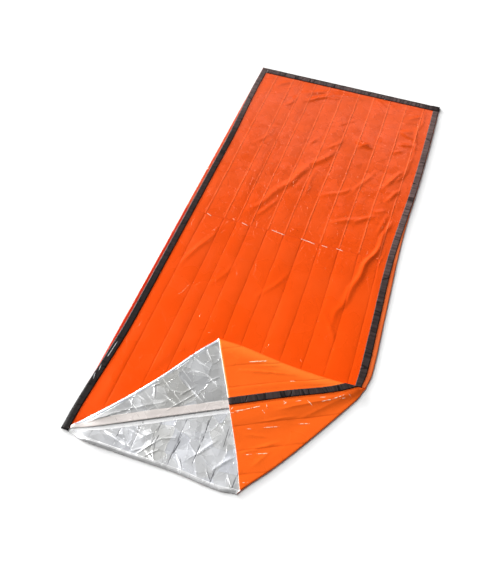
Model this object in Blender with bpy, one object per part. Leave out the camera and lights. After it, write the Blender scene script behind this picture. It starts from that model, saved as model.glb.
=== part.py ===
"""Emergency sleeping bag, laid flat with its near right mouth corner turned over.

Metres, +Z up. Each panel and tape is cut as a flat slab in the bag's own plan, where x runs
across the bag from its left edge and y from the mouth to the foot. The slab is creased along
its fold lines and then folded: a fold function gives the place of every point of the slab
from its plan position and its height n above the middle of the sheet.
"""
import math

import bmesh
import bpy
from mathutils import Vector

# ---- driving dimensions -----------------------------------------------------------------
BAG_WIDTH = 0.910
BAG_LENGTH = 2.130
TURNED_LENGTH = 0.480     # how far up the right edge the mouth corner is turned over
FILM = 0.0010             # thickness of a panel
TAPE_WIDTH = 0.0265
FOOT_TAPE_WIDTH = 0.036
TAPE = 0.0010             # thickness of a tape
CLEARANCE = 0.0005        # between a tape and the film below it

BAG_HEIGHT = 0.0036       # from the back panel's middle up to the front panel's: it lies empty
FOOT_HEIGHT = 0.0016      # the same at the closed foot
MOUTH_SHARE = 0.45        # share of the bag's height that is left at the mouth's ends
FLAP_RISE = 0.0035        # from the front panel up to the silver flap
HOOD_RISE = 0.0065        # from the front panel up to the hood
FOLD_ROUND = 0.0022       # half the width of a crease's round
SIDE_ROUND = 0.0035       # the same at the bag's sides

LEFT_SEAM_INSET = 0.027   # how far the left seam lies in from the bag's edge
MOUTH_SEAM_INSET = 0.004  # the same at the mouth
TURNED_SEAM_INSET = 0.0215  # how far in the right seam lies on the turned corner
RIGHT_SEAM_INSET = 0.031  # the same beside the hood
FOOT_SEAM_INSET = 0.0145  # both seams at the foot, where the tapes reach the edges
SEAM_GAP = 0.0010         # between the edges of the two panels under a tape
FLAP_TIP_MARGIN = 0.0025  # between the left tape and the tip of the flap
HOOD_EDGE_MARGIN = 0.0025 # how far the back panel stops short of the hood's upper fold
PACK_COLUMNS = 12         # strips between the packing creases
MAIN_ROWS = 24            # rows of each sheet between its ends
END_ROWS = 5              # finer rows at the mouth and at the foot
MOUTH_REACH = 0.12        # how far from the mouth the bag reaches its full height
FOOT_REACH = END_ROWS * FOOT_TAPE_WIDTH
PACK_RELIEF = 0.0014
WAIST = 0.014             # how far the right edge draws in at mid length
FOOT_SKEW = 0.012         # how much shorter the bag is along its right edge
MOUTH_BOW = 0.020         # how far the back panel's mouth edge bows out
FLAP_BOW = 0.021          # how far the flap's free edge bows in
HOOD_BOW = 0.007          # how far the hood's outer edge bows out

# Soft folds raised in the front panel: from one end to the other, half width and height.
FRONT_FOLDS = [
    {"start": (0.27, 1.15), "end": (0.49, 1.68), "half": 0.045, "height": 0.0035},
    {"start": (0.85, 1.34), "end": (0.72, 0.80), "half": 0.035, "height": 0.0030},
    {"start": (0.80, 1.38), "end": (0.78, 1.86), "half": 0.040, "height": 0.0030},
    {"start": (0.24, 1.99), "end": (0.50, 2.01), "half": 0.035, "height": 0.0025},
    {"start": (0.10, 0.62), "end": (0.17, 1.00), "half": 0.035, "height": 0.0020},
]
HOOD_FOLDS = [
    {"start": (0.62, 0.27), "end": (0.80, 0.39), "half": 0.018, "height": 0.0030},
    {"start": (0.60, 0.12), "end": (0.66, 0.22), "half": 0.020, "height": 0.0025},
    {"start": (0.47, 0.40), "end": (0.66, 0.46), "half": 0.018, "height": 0.0025},
]

# ---- the squash fold, worked out from the width and the turned length ---------------------
FOLD_ANGLE = math.atan2(TURNED_LENGTH, BAG_WIDTH)
CREASE_LENGTH = math.hypot(BAG_WIDTH, TURNED_LENGTH)
LEFT_CORNER = Vector((0.0, 0.0))
TURN = Vector((BAG_WIDTH, TURNED_LENGTH))       # where all creases meet
ALONG_CREASE = TURN.normalized()
MOUTH_MIDDLE = ALONG_CREASE * (CREASE_LENGTH - TURNED_LENGTH)
HOOD_FOOT = Vector((MOUTH_MIDDLE.length / math.cos(FOLD_ANGLE), 0.0))


def smooth(value):
    value = max(0.0, min(1.0, value))
    return value * value * (3.0 - 2.0 * value)


def blend(low, high, share):
    return low + (high - low) * share


class Crease:
    """A fold line, with a unit vector along it and one across it to the side that folds."""

    def __init__(self, start, end):
        self.start = Vector(start)
        self.along = (Vector(end) - self.start).normalized()
        self.across = Vector((self.along.y, -self.along.x))

    def beyond(self, point):
        return (point - self.start).dot(self.across)

    def move(self, point, distance):
        """The point at this distance beyond the crease, level with the given point."""
        return point + self.across * (distance - self.beyond(point))


MAIN_CREASE = Crease(LEFT_CORNER, TURN)      # the front panel turns up and back here
HOOD_CREASE = Crease(HOOD_FOOT, TURN)        # the turned corner turns back again here
LEFT_SIDE = Crease((0.0, BAG_LENGTH), (0.0, 0.0))
RIGHT_SIDE = Crease((BAG_WIDTH, 0.0), (BAG_WIDTH, BAG_LENGTH))
FLAP_CORNER = MAIN_CREASE.move(HOOD_FOOT, -MAIN_CREASE.beyond(HOOD_FOOT))
FLAP_EDGE = Crease(FLAP_CORNER, LEFT_CORNER)
HOOD_EDGE = Crease(FLAP_CORNER, TURN)        # the hood's upper fold, where it lies


# ---- heights ------------------------------------------------------------------------------
def ridge(point, fold):
    """Height of one soft fold: a rounded ridge that fades out at its ends."""
    start = Vector(fold["start"])
    run = Vector(fold["end"]) - start
    share = max(0.0, min(1.0, (point - start).dot(run) / run.length_squared))
    away = (point - start - run * share).length / fold["half"]
    return fold["height"] * smooth(1.0 - away) * (0.4 + 0.6 * math.sin(math.pi * share))


def packing(point):
    """Pillowed strips between the lengthwise packing creases, flattened by the cross crease."""
    strip = abs(math.sin(math.pi * PACK_COLUMNS * point.x / BAG_WIDTH))
    uneven = 0.65 + 0.35 * math.sin(7.0 * point.y + 16.0 * point.x)
    cross = 0.25 + 0.75 * smooth(abs(point.y - BAG_LENGTH / 2) / 0.06)
    return PACK_RELIEF * strip * uneven * cross


def left_inset(y):
    inset = blend(MOUTH_SEAM_INSET, LEFT_SEAM_INSET, smooth(y / 0.50))
    return blend(inset, FOOT_SEAM_INSET, smooth((y - 1.50) / 0.50))


def right_inset(y):
    inset = blend(TURNED_SEAM_INSET, RIGHT_SEAM_INSET, smooth((y - 0.25) / 0.25))
    return blend(inset, FOOT_SEAM_INSET, smooth((y - 0.90) / 0.60))


def front_height(point):
    """Middle of the front panel, low at the closed foot and at the mouth."""
    foot = blend(FOOT_HEIGHT, BAG_HEIGHT, smooth((BAG_LENGTH - point.y) / FOOT_REACH))
    return FILM / 2 + foot * blend(MOUTH_SHARE, 1.0, smooth(point.y / MOUTH_REACH))


def front_relief(point):
    clear_of_seams = smooth((min(point.x, BAG_WIDTH - point.x) - 0.045) / 0.05)
    clear_of_foot = smooth((BAG_LENGTH - point.y - 0.04) / 0.06)
    above_hood = smooth(-HOOD_EDGE.beyond(point) / 0.05)
    left_of_flap = smooth(FLAP_EDGE.beyond(point) / 0.05)
    raised = packing(point) + sum(ridge(point, fold) for fold in FRONT_FOLDS)
    return raised * clear_of_seams * clear_of_foot * max(above_hood, left_of_flap)


def corner_rise(point):
    """The layers close up towards the turn, where all creases meet."""
    return min(1.0, (point - TURN).length / 0.040)


def flap_height(point):
    near_left = max(0.5, min(1.0, point.length / 0.12))
    return front_height(point) + FLAP_RISE * corner_rise(point) * near_left


def hood_height(point):
    inside = smooth((HOOD_EDGE.beyond(point) - 0.004) / 0.02)
    from_seam = abs(MAIN_CREASE.beyond(point) + TURNED_SEAM_INSET)
    off_seam = smooth((from_seam - TAPE_WIDTH) / 0.03)
    raised = sum(ridge(point, fold) for fold in HOOD_FOLDS)
    return front_height(point) + HOOD_RISE * corner_rise(point) + raised * inside * off_seam


def lower_hood_height(point):
    """The hood's lower half climbs from its round at the side up to the seam."""
    from_turn = point - TURN
    span = abs(HOOD_CREASE.along.angle(MAIN_CREASE.along))
    turned = abs(HOOD_CREASE.along.angle(-from_turn)) if from_turn.length > 1e-6 else 0.0
    share = from_turn.length / (HOOD_FOOT - TURN).length
    round_top = FILM / 2 + blend(BAG_HEIGHT, 2 * FOLD_ROUND, min(1.0, share))
    if HOOD_CREASE.beyond(point) > 0:
        turned = 0.0
    return blend(round_top, hood_height(point), smooth((turned / span - 0.3) / 0.7))


# ---- folds --------------------------------------------------------------------------------
def round_angle(beyond, half):
    return math.pi / 2 * (1.0 + max(-1.0, min(1.0, beyond / half)))


def rolled(crease, point, n, half, low, high, inner):
    """A point near a crease on the half round from the low layer up to the high one.

    inner is the face on the inside of the round: +1 for the top face and -1 for the lower one.
    """
    angle = round_angle(crease.beyond(point), half)
    depth = inner * n
    flat = crease.move(point, -half + (half - depth) * math.sin(angle))
    height = (low + high) / 2 - ((high - low) / 2 - depth) * math.cos(angle)
    return flat, height


def mirror(crease, point):
    return crease.move(point, -crease.beyond(point))


def fold_front(point, n):
    """Front panel: orange face up, turned up at the main crease and back at the hood's."""
    over_hood = HOOD_CREASE.beyond(point)
    over_main = MAIN_CREASE.beyond(point)
    if over_hood > -FOLD_ROUND and over_main > FOLD_ROUND:
        if over_hood >= FOLD_ROUND:
            flat = mirror(HOOD_CREASE, point)
            place = mirror(MAIN_CREASE, flat)
            return place, hood_height(place) + n
        edge = mirror(MAIN_CREASE, HOOD_CREASE.move(point, 0.0))
        low, high = flap_height(edge), hood_height(edge)
        flat, height = rolled(HOOD_CREASE, point, n, FOLD_ROUND, low, high, -1)
        return mirror(MAIN_CREASE, flat), height
    if over_main >= FOLD_ROUND:
        place = mirror(MAIN_CREASE, point)
        return place, flap_height(place) - n
    if over_main > -FOLD_ROUND:
        edge = MAIN_CREASE.move(point, 0.0)
        return rolled(MAIN_CREASE, point, n, FOLD_ROUND, front_height(edge), flap_height(edge), 1)
    return point, front_height(point) + front_relief(point) + n


def fold_back(point, n):
    """Back panel: silver face up, rolled over both sides and over the hood's lower crease."""
    for side in (LEFT_SIDE, RIGHT_SIDE):
        over = side.beyond(point)
        if over > -SIDE_ROUND and (side is LEFT_SIDE or point.y >= TURNED_LENGTH):
            edge = side.move(point, 0.0)
            top = front_height(edge)
            if over >= SIDE_ROUND:
                return mirror(side, point), top - n
            return rolled(side, point, n, SIDE_ROUND, FILM / 2, top, 1)
    over = HOOD_CREASE.beyond(point)
    if over > -SIDE_ROUND and point.y < TURNED_LENGTH:
        if over >= SIDE_ROUND:
            place = mirror(HOOD_CREASE, point)
            return place, lower_hood_height(place) - n
        top = lower_hood_height(HOOD_CREASE.move(point, 0.0))
        return rolled(HOOD_CREASE, point, n, SIDE_ROUND, FILM / 2, top, 1)
    return point, FILM / 2 + n


TAPE_LIFT = FILM / 2 + CLEARANCE + TAPE / 2      # from a panel's middle to its tape's
TAPE_ROUND = FOLD_ROUND + TAPE_LIFT
TAPE_DROP = HOOD_RISE - TAPE_ROUND               # straight stretch down the hood's edge


def lay_tape(point, n):
    """A tape along a seam. Past the bag's edge it bends down round the side."""
    outside = max(0.0, -point.x)
    height = front_height(point) + TAPE_LIFT
    return point, max(TAPE, height - outside * 0.25) + n


def lay_foot_tape(point, n):
    """The foot tape steps up where it crosses the right tape."""
    step = smooth((point.x - (BAG_WIDTH - FOOT_SEAM_INSET - TAPE_WIDTH)) / (TAPE_WIDTH / 3))
    return point, front_height(point) + TAPE_LIFT + step * (TAPE + CLEARANCE) + n


def fold_hood_tape(point, n):
    """The right tape's turned run: over the hood and down its upper fold."""
    over = HOOD_CREASE.beyond(point)
    bent = max(0.0, FOLD_ROUND - over)
    angle = min(math.pi / 2, bent / TAPE_ROUND)
    straight = max(0.0, bent - TAPE_ROUND * math.pi / 2)
    if bent > 0:
        flat = HOOD_CREASE.move(point, FOLD_ROUND - (TAPE_ROUND + n) * math.sin(angle))
    else:
        flat = point
    place = mirror(MAIN_CREASE, mirror(HOOD_CREASE, flat))
    edge = mirror(MAIN_CREASE, mirror(HOOD_CREASE, HOOD_CREASE.move(point, max(0.0, over))))
    top = lower_hood_height(edge) + TAPE_LIFT
    share = (TAPE_ROUND * (1.0 - math.cos(angle)) + straight) / (TAPE_ROUND + TAPE_DROP)
    return place, blend(top, front_height(edge) + TAPE_LIFT, share) + n * math.cos(angle)


# ---- flat slabs ---------------------------------------------------------------------------
def spread(low, high, steps):
    return [blend(low, high, step / steps) for step in range(steps + 1)]


def row_places():
    """Rows that every piece shares, so that neighbours bend at the same lines."""
    mouth = spread(0.0, MOUTH_REACH, END_ROWS)
    middle = spread(MOUTH_REACH, BAG_LENGTH - FOOT_REACH, MAIN_ROWS)
    foot = spread(BAG_LENGTH - FOOT_REACH, BAG_LENGTH, END_ROWS)
    return mouth + middle[1:] + foot[1:]


def grid(columns, rows):
    """A flat grid with its lines at the given places."""
    across = len(columns) - 1
    along = len(rows) - 1
    sheet = bmesh.new()
    bmesh.ops.create_grid(sheet, x_segments=across, y_segments=along, size=0.5)
    for vert in sheet.verts:
        vert.co.x = columns[round((vert.co.x + 0.5) * across)]
        vert.co.y = rows[round((vert.co.y + 0.5) * along)]
    return sheet


def cut(sheet, start, across, wanted=None, clear=False):
    """Cut the faces that are wanted along a line, and clear what lies beyond it if asked."""
    faces = [face for face in sheet.faces if wanted is None or wanted(face.calc_center_median())]
    parts = set(faces)
    for face in faces:
        parts.update(face.edges)
        parts.update(face.verts)
    bmesh.ops.bisect_plane(
        sheet, geom=list(parts), dist=5e-5, plane_co=start.to_3d(), plane_no=across.to_3d(),
        clear_outer=clear)


def crease_cuts(sheet, crease, half, wanted=None, steps=3):
    for step in range(-steps, steps + 1):
        cut(sheet, crease.start + crease.across * (half * step / steps), crease.across, wanted)


def folded(sheet, thickness, fold):
    """Thicken a flat sheet to a slab, fold it and let it settle on the floor."""
    bmesh.ops.remove_doubles(sheet, verts=sheet.verts, dist=5e-5)
    bmesh.ops.triangulate(sheet, faces=sheet.faces)
    lower = list(sheet.faces)
    upper = bmesh.ops.extrude_face_region(sheet, geom=lower, use_keep_orig=True)["geom"]
    for vert in sheet.verts:
        vert.co.z = -thickness / 2
    for part in upper:
        if isinstance(part, bmesh.types.BMVert):
            part.co.z = thickness / 2
    bmesh.ops.recalc_face_normals(sheet, faces=sheet.faces)
    for vert in sheet.verts:
        place, height = fold(vert.co.to_2d(), vert.co.z)
        vert.co = settled(place).to_3d()
        vert.co.z = height
    return sheet


def settled(place):
    """The bag draws in at its right edge, is shorter along it, and bows out at the hood."""
    across = place.x / BAG_WIDTH
    waist = math.exp(-((place.y - 0.56 * BAG_LENGTH) / 0.36) ** 2)
    skew = (0.5 - across) * place.y / BAG_LENGTH
    drawn = Vector((place.x - WAIST * across * waist, place.y + FOOT_SKEW * skew))
    share = max(0.0, min(1.0, (place - TURN).length / (HOOD_FOOT - TURN).length))
    near_edge = smooth(1.0 + HOOD_CREASE.beyond(place) / 0.15)
    return drawn + HOOD_CREASE.across * HOOD_BOW * math.sin(math.pi * share) * near_edge


def thing(name, sheet, material, collection):
    mesh = bpy.data.meshes.new(name)
    sheet.to_mesh(mesh)
    sheet.free()
    mesh.materials.append(material)
    made = bpy.data.objects.new(name, mesh)
    collection.objects.link(made)
    return made


def finish(name, colour, roughness, metallic):
    material = bpy.data.materials.new(name)
    material.use_nodes = True
    shader = material.node_tree.nodes["Principled BSDF"]
    shader.inputs["Base Color"].default_value = colour
    shader.inputs["Roughness"].default_value = roughness
    shader.inputs["Metallic"].default_value = metallic
    return material


# ---- the five pieces ----------------------------------------------------------------------
def front_panel():
    """Cut along both seams and folded twice at the turned corner."""
    sheet = grid(spread(0.0, BAG_WIDTH, 2 * PACK_COLUMNS), row_places())
    for vert in sheet.verts:
        left = left_inset(vert.co.y) + SEAM_GAP / 2
        right = BAG_WIDTH - right_inset(vert.co.y) - SEAM_GAP / 2
        if vert.co.y < 1e-6 and vert.co.x < HOOD_FOOT.x:
            vert.co.y = FLAP_BOW * math.sin(math.pi * vert.co.x / HOOD_FOOT.x)
        vert.co.x = max(left, min(right, vert.co.x))
    crease_cuts(sheet, MAIN_CREASE, FOLD_ROUND)
    crease_cuts(sheet, HOOD_CREASE, FOLD_ROUND, lambda place: MAIN_CREASE.beyond(place.to_2d()) > 0)
    trim_flap(sheet)
    return folded(sheet, FILM, fold_front)


def trim_flap(sheet):
    """The flap starts beside the left tape, so its narrow tip is cut away."""
    inner_edge = MOUTH_SEAM_INSET + TAPE_WIDTH / 2
    tip = MAIN_CREASE.along * ((inner_edge + FLAP_TIP_MARGIN) / MAIN_CREASE.along.x)
    trim = Crease(tip, mirror(MAIN_CREASE, tip + Vector((0.0, TAPE_WIDTH))))
    cut(sheet, tip, trim.across, lambda place: place.y < TAPE_WIDTH)
    doomed = []
    for face in sheet.faces:
        place = face.calc_center_median().to_2d()
        if trim.beyond(place) > 0 and MAIN_CREASE.beyond(place) > -FOLD_ROUND:
            doomed.append(face)
    bmesh.ops.delete(sheet, geom=doomed, context="FACES")


def mouth_bow(share):
    """The mouth edge bows out most near the hood, and draws back in at the hood's foot."""
    bow = 0.5 * smooth(share / 0.13) + 0.5 * smooth((share - 0.62) / 0.25)
    return MOUTH_BOW * bow * (1.0 - 0.35 * smooth((share - 0.9) / 0.08))


def back_panel():
    """Cut wider than the bag, so that it rolls over both sides and the hood's lower half."""
    sheet = grid(spread(0.0, BAG_WIDTH, PACK_COLUMNS), row_places())
    for vert in sheet.verts:
        if vert.co.x < 1e-6:
            vert.co.x = SEAM_GAP / 2 - left_inset(vert.co.y)
        if vert.co.x > BAG_WIDTH - 1e-6:
            vert.co.x = BAG_WIDTH + right_inset(vert.co.y) - SEAM_GAP / 2
        if vert.co.y < 1e-6 and vert.co.x < HOOD_FOOT.x:
            vert.co.y = -mouth_bow(vert.co.x / HOOD_FOOT.x)
    crease_cuts(sheet, LEFT_SIDE, SIDE_ROUND)
    crease_cuts(sheet, RIGHT_SIDE, SIDE_ROUND, lambda place: place.y > TURNED_LENGTH - 0.09)
    cut(sheet, TURN, Vector((0.0, 1.0)), lambda place: place.x > BAG_WIDTH - 0.09)
    crease_cuts(sheet, HOOD_CREASE, SIDE_ROUND, lambda place: place.y < TURNED_LENGTH)
    open_turn(sheet)
    return folded(sheet, FILM, fold_back)


def open_turn(sheet):
    """Clear the small facet beyond the turn that a squash fold doubles under the hood."""
    upper = Crease(TURN, mirror(RIGHT_SIDE, TURN - HOOD_EDGE.along))
    lower = Crease(mirror(HOOD_CREASE, TURN - HOOD_EDGE.along), TURN)
    for ray in (upper, lower):
        ray.start = ray.start - ray.across * HOOD_EDGE_MARGIN
        cut(sheet, ray.start, ray.across, lambda place: place.x > BAG_WIDTH)
    doomed = []
    for face in sheet.faces:
        place = face.calc_center_median().to_2d()
        if place.x > BAG_WIDTH and upper.beyond(place) > 0 and lower.beyond(place) > 0:
            doomed.append(face)
    bmesh.ops.delete(sheet, geom=doomed, context="FACES")


def seam_tape(side):
    """A tape centred on a seam, from the mouth (left) or the hood's edge (right) to the foot."""
    rows = row_places()
    if side == "right":
        rows[-1] -= FOOT_TAPE_WIDTH / 2
    sheet = grid(spread(-TAPE_WIDTH / 2, TAPE_WIDTH / 2, 2), rows)
    for vert in sheet.verts:
        left, right = left_inset(vert.co.y), BAG_WIDTH - right_inset(vert.co.y)
        vert.co.x += left if side == "left" else right
    if side == "right":
        start = HOOD_EDGE.start - HOOD_EDGE.across * CLEARANCE
        cut(sheet, start, HOOD_EDGE.across, clear=True)
    return folded(sheet, TAPE, lay_tape)


def hood_tape():
    """The right tape's run on the hood, cut level with the mouth."""
    sheet = grid(spread(-TAPE_WIDTH / 2, TAPE_WIDTH / 2, 2), row_places())
    for vert in sheet.verts:
        vert.co.x += BAG_WIDTH - right_inset(vert.co.y)
    quarter = TAPE_ROUND * math.pi / 2
    for share in (0.0, 1 / 3, 2 / 3, 1.0):
        start = HOOD_CREASE.start + HOOD_CREASE.across * (FOLD_ROUND - quarter * share)
        cut(sheet, start, HOOD_CREASE.across)
    end = HOOD_CREASE.start + HOOD_CREASE.across * (FOLD_ROUND - quarter - TAPE_DROP)
    cut(sheet, end, -HOOD_CREASE.across, clear=True)
    return folded(sheet, TAPE, fold_hood_tape)


def foot_tape():
    inner = FOOT_SEAM_INSET + TAPE_WIDTH / 2 + CLEARANCE
    columns = spread(inner, BAG_WIDTH, 48)
    return folded(grid(columns, row_places()[-2:]), TAPE, lay_foot_tape)


def join_runs(run, turned_run):
    """The right tape is one strip: its two runs meet at the foot of the hood's edge."""
    join = run.modifiers.new("turned run", "BOOLEAN")
    join.operation = "UNION"
    join.object = turned_run
    turned_run.hide_render = True
    turned_run.display_type = "WIRE"


def centre_on_floor(pieces):
    """Move the bag so that the middle of its box's base is the origin."""
    corners = [vert.co for piece in pieces for vert in piece.data.vertices]
    middle_x = (min(co.x for co in corners) + max(co.x for co in corners)) / 2
    middle_y = (min(co.y for co in corners) + max(co.y for co in corners)) / 2
    lowest = min(co.z for co in corners)
    for piece in pieces:
        for vert in piece.data.vertices:
            vert.co -= Vector((middle_x, middle_y, lowest))


def main():
    for old in list(bpy.data.objects):
        bpy.data.objects.remove(old)
    bag = bpy.data.collections.new("sleeping_bag")
    cutters = bpy.data.collections.new("cutters")
    for collection in (bag, cutters):
        bpy.context.scene.collection.children.link(collection)

    film = finish("orange_film", (1.0, 0.10, 0.008, 1.0), 0.30, 0.0)
    inner_film = finish("silver_lined_film", (0.72, 0.72, 0.73, 1.0), 0.28, 0.9)
    tape = finish("black_tape", (0.018, 0.014, 0.014, 1.0), 0.45, 0.0)

    pieces = [
        thing("back_panel", back_panel(), inner_film, bag),
        thing("front_panel", front_panel(), film, bag),
        thing("tape_left", seam_tape("left"), tape, bag),
        thing("tape_right", seam_tape("right"), tape, bag),
        thing("tape_foot", foot_tape(), tape, bag),
    ]
    turned_run = thing("tape_right_turned_run", hood_tape(), tape, cutters)
    centre_on_floor(pieces + [turned_run])
    join_runs(pieces[3], turned_run)


main()
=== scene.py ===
import math

import bmesh
import bpy
import numpy as np
from mathutils import Matrix, Vector, noise


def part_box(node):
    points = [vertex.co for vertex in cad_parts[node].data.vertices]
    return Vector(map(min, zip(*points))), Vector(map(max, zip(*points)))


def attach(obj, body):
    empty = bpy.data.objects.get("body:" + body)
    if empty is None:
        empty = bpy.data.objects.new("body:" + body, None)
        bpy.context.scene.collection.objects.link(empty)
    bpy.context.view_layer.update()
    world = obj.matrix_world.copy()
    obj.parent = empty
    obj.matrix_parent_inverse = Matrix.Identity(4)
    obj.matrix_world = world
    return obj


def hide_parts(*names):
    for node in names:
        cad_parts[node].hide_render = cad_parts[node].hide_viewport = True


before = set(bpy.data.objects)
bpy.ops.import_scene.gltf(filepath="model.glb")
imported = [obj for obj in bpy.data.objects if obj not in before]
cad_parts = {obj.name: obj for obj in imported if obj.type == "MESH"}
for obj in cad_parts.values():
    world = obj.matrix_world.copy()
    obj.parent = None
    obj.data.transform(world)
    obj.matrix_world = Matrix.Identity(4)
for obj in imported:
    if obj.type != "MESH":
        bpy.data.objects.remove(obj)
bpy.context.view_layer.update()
print("frame loaded:", sorted(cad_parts))

# The bag's plan: x runs across from its left edge and y from the mouth to the foot, in metres.
bagPlan = {
    "width": 0.910, "length": 2.130, "turnedLength": 0.480,
    "film": 0.0004,            # thickness that the film is drawn with
    "filmMiddle": 0.0005,      # height of the back panel's middle above the floor
    "bagHeight": 0.0036, "footHeight": 0.0016, "mouthShare": 0.45,
    "flapRise": 0.0035, "hoodRise": 0.0065, "foldRound": 0.0022, "sideRound": 0.0035,
    # how far the seams lie in from the bag's edges, and how far the panels end from them
    "leftSeamInset": 0.027, "mouthSeamInset": 0.004, "rightSeamInset": 0.031,
    "turnedSeamInset": 0.0215, "footSeamInset": 0.0145, "seamGap": 0.0005,
    "tapeWidth": 0.0265, "footTapeWidth": 0.036,
    "mouthReach": 0.12, "footReach": 0.18, "bowReach": 0.08,
    "waist": 0.014, "waistPlace": 0.56, "waistReach": 0.36, "footSkew": 0.012,
    "mouthBow": 0.020, "flapBow": 0.021, "hoodBow": 0.007,
    "cornerRound": 0.008, "cornerReach": 0.035, "edgeSag": 0.018, "sagReach": 0.07, "pressed": 0.0021,
    # where along the bag each seam's inset changes: start and reach of each change
    "leftSeamChanges": ((0.0, 0.50), (1.50, 0.50)), "rightSeamChanges": ((0.25, 0.25), (0.90, 0.60)),
    "packingCreases": (0.091, 0.177, 0.234, 0.293, 0.368, 0.441, 0.518, 0.593, 0.673, 0.754, 0.838),
    "crossCrease": 1.067,
    # metres that a pattern's unit square stands for, and the pattern's start in that square
    "patternSpan": 2.2, "patternStart": 0.05,
}

lowCorner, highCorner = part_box("back_panel")
planOrigin = np.array((lowCorner.x + 0.0005, highCorner.y - bagPlan["length"] - bagPlan["footSkew"] / 2))


def smooth(value):
    value = np.clip(value, 0.0, 1.0)
    return value * value * (3.0 - 2.0 * value)


def blend(low, high, share):
    return low + (high - low) * share


def farFrom(spot, points):
    return np.linalg.norm(points - spot, axis=1)


# entries given in millimetres, as metres
def inMetres(*entries):
    return tuple(tuple(value / 1000 for value in entry) for entry in entries)


class FoldLine:
    # across points to the side that folds
    def __init__(self, start, end):
        self.start = np.array(start, float)
        run = np.array(end, float) - self.start
        self.reach = np.linalg.norm(run)
        self.along = run / self.reach
        self.across = np.array((self.along[1], -self.along[0]))

    def beyond(self, points):
        return (points - self.start) @ self.across

    def move(self, points, distance):
        return points + np.multiply.outer(distance - self.beyond(points), self.across)

    def mirror(self, points):
        return self.move(points, -self.beyond(points))

    # the share of the line that a point lies beside, and the point's distance from there
    def nearest(self, points, spare=0.0):
        share = np.clip((points - self.start) @ self.along / self.reach, -spare, 1.0 + spare)
        return share, farFrom(self.start + np.multiply.outer(share * self.reach, self.along), points)


width, length, turnedLength = bagPlan["width"], bagPlan["length"], bagPlan["turnedLength"]
tapeWidth, foldRound, sideRound = bagPlan["tapeWidth"], bagPlan["foldRound"], bagPlan["sideRound"]
leftCorner = np.array((0.0, 0.0))
turn = np.array((width, turnedLength))
creaseLength = np.linalg.norm(turn)
mouthMiddle = turn / creaseLength * (creaseLength - turnedLength)
hoodFoot = np.array((np.linalg.norm(mouthMiddle) * creaseLength / width, 0.0))
mainCrease = FoldLine(leftCorner, turn)
hoodCrease = FoldLine(hoodFoot, turn)
leftSide = FoldLine((0.0, length), (0.0, 0.0))
rightSide = FoldLine((width, 0.0), (width, length))
flapCorner = mainCrease.mirror(hoodFoot[None])[0]
flapEdge = FoldLine(flapCorner, leftCorner)
hoodEdge = FoldLine(flapCorner, turn)
# beyond these two lies the hood, as seen on the flap and on the back panel
hoodMouth, hoodEdgeBelow = FoldLine(mouthMiddle, flapCorner), FoldLine(hoodFoot, mouthMiddle)


def packingPhase(x):
    stops = (0.0,) + bagPlan["packingCreases"] + (width,)
    return np.interp(x, stops, range(len(stops)))


def seamInset(y, first, second, changes):
    inset = bagPlan[first]
    for further, (start, reach) in zip((second, "footSeamInset"), bagPlan[changes]):
        inset = blend(inset, bagPlan[further], smooth((y - start) / reach))
    return inset


def leftSeam(y):
    return seamInset(y, "mouthSeamInset", "leftSeamInset", "leftSeamChanges")


def rightSeam(y):
    return width - seamInset(y, "turnedSeamInset", "rightSeamInset", "rightSeamChanges")


# how far the back panel's mouth edge bows out: most of all near the hood
def mouthBow(x):
    share = np.clip(np.asarray(x) / hoodFoot[0], 0.0, 1.0)
    bow = 0.5 * smooth(share / 0.13) + 0.5 * smooth((share - 0.62) / 0.25)
    return bagPlan["mouthBow"] * bow * (1.0 - 0.35 * smooth((share - 0.9) / 0.08))


def flapBow(x):
    return bagPlan["flapBow"] * np.sin(math.pi * np.clip(np.asarray(x) / hoodFoot[0], 0.0, 1.0))


# relief from 0 to 1: cells that meet in sharp ridges
def creased(points, size, seed):
    warp = 0.35 * size
    values = np.empty(len(points))
    for index, (x, y) in enumerate(points):
        shiftX = noise.noise((x / size * 0.7, y / size * 0.7, seed)) * warp
        shiftY = noise.noise((x / size * 0.7, y / size * 0.7, seed + 9.0)) * warp
        values[index] = noise.voronoi(((x + shiftX) / size, (y + shiftY) / size, seed))[0][0]
    return np.clip(values, 0.0, 1.0)


# crumple of two sizes, each given by its height and the size of its cells
def crumpled(points, look):
    level, seed = look["level"], look["seed"]
    (coarse, coarseSize), (fine, fineSize) = look["crumple"]
    relief = coarse * (level - creased(points, coarseSize, seed))
    return relief + fine * (level - creased(points, fineSize, seed + 2.0))


def wavy(points, size, seed):
    return np.array([noise.noise((x / size, y / size, seed)) for x, y in points])


# creased ridges, sharp along their middle, that fade out at their ends
def wrinkles(points, entries):
    height = np.zeros(len(points))
    for *ends, half, rise in entries:
        share, away = FoldLine(ends[:2], ends[2:]).nearest(points)
        side = np.clip(1.0 - away / half, 0.0, 1.0)
        height += rise * side ** 1.6 * (0.25 + 0.75 * np.sin(math.pi * share))
    return height


# rounded folds that wander, for film that lies loosely
def softFolds(points, entries, wander, seed):
    drift = np.stack((wavy(points, 0.11, seed), wavy(points, 0.11, seed + 4.0)), 1)
    height = np.zeros(len(points))
    for *ends, half, rise in entries:
        share, away = FoldLine(ends[:2], ends[2:]).nearest(points + wander * drift, 0.1)
        side = 1.0 - away / half
        fade = np.clip(0.15 + np.sin(math.pi * np.clip(share, 0.0, 1.0)), 0.0, 1.0)
        height += rise * np.clip(side, 0.0, 1.0) ** 1.3 * smooth(2.2 * side) * fade
    return height


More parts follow.
